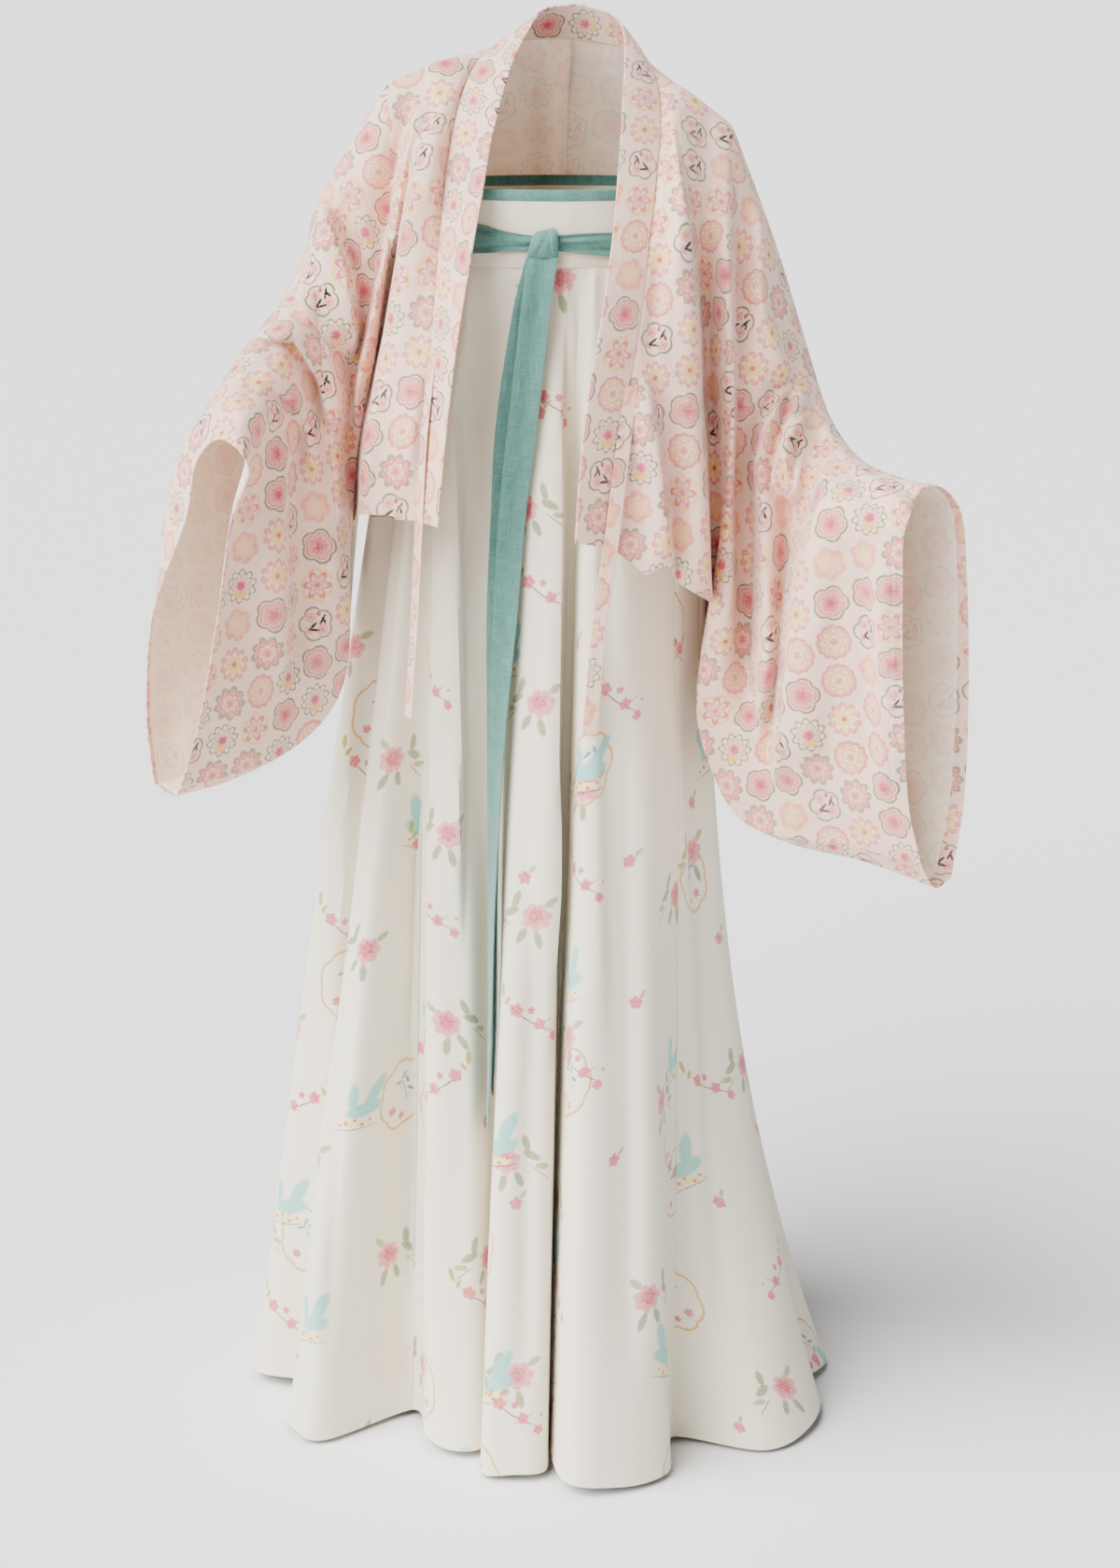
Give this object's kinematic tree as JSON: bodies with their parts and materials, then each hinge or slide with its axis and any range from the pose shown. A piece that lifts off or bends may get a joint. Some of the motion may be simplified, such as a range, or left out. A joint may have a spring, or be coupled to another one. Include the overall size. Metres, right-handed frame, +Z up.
{
  "type": "two-piece hanfu",
  "caption": "Worn two-piece hanfu: open-front, wide-sleeved printed jacket with a straight collar band over a chest-high gored skirt tied with a sash.",
  "frame": {"origin": "between the wearer's shoulders, where the garment is held up, 1.300 m above the floor", "axes": "+Z up, the front faces -Y, +X towards the viewer's right"},
  "size_m": [0.7605, 0.5327, 1.3529],
  "materials": {
    "printed_cotton": "matt, pale pink with a flower print",
    "ivory_crepe": "matt, ivory with a sparse botanical print",
    "green_linen": "matt, plain muted green"
  },
  "bodies": {
    "root": {"skirt_front": "ivory_crepe", "skirt_side_left": "ivory_crepe", "skirt_side_right": "ivory_crepe", "skirt_back": "ivory_crepe", "chest_band": "ivory_crepe", "band_binding": "green_linen", "sash_wrap": "green_linen", "sash_knot": "green_linen", "sash_tail_front": "green_linen", "sash_tail_rear": "green_linen", "jacket_body_left": "printed_cotton", "jacket_body_right": "printed_cotton", "sleeve_left": "printed_cotton", "sleeve_right": "printed_cotton", "collar_band": "printed_cotton", "tie_left": "printed_cotton", "tie_right": "printed_cotton"}
  },
  "joints": []
}
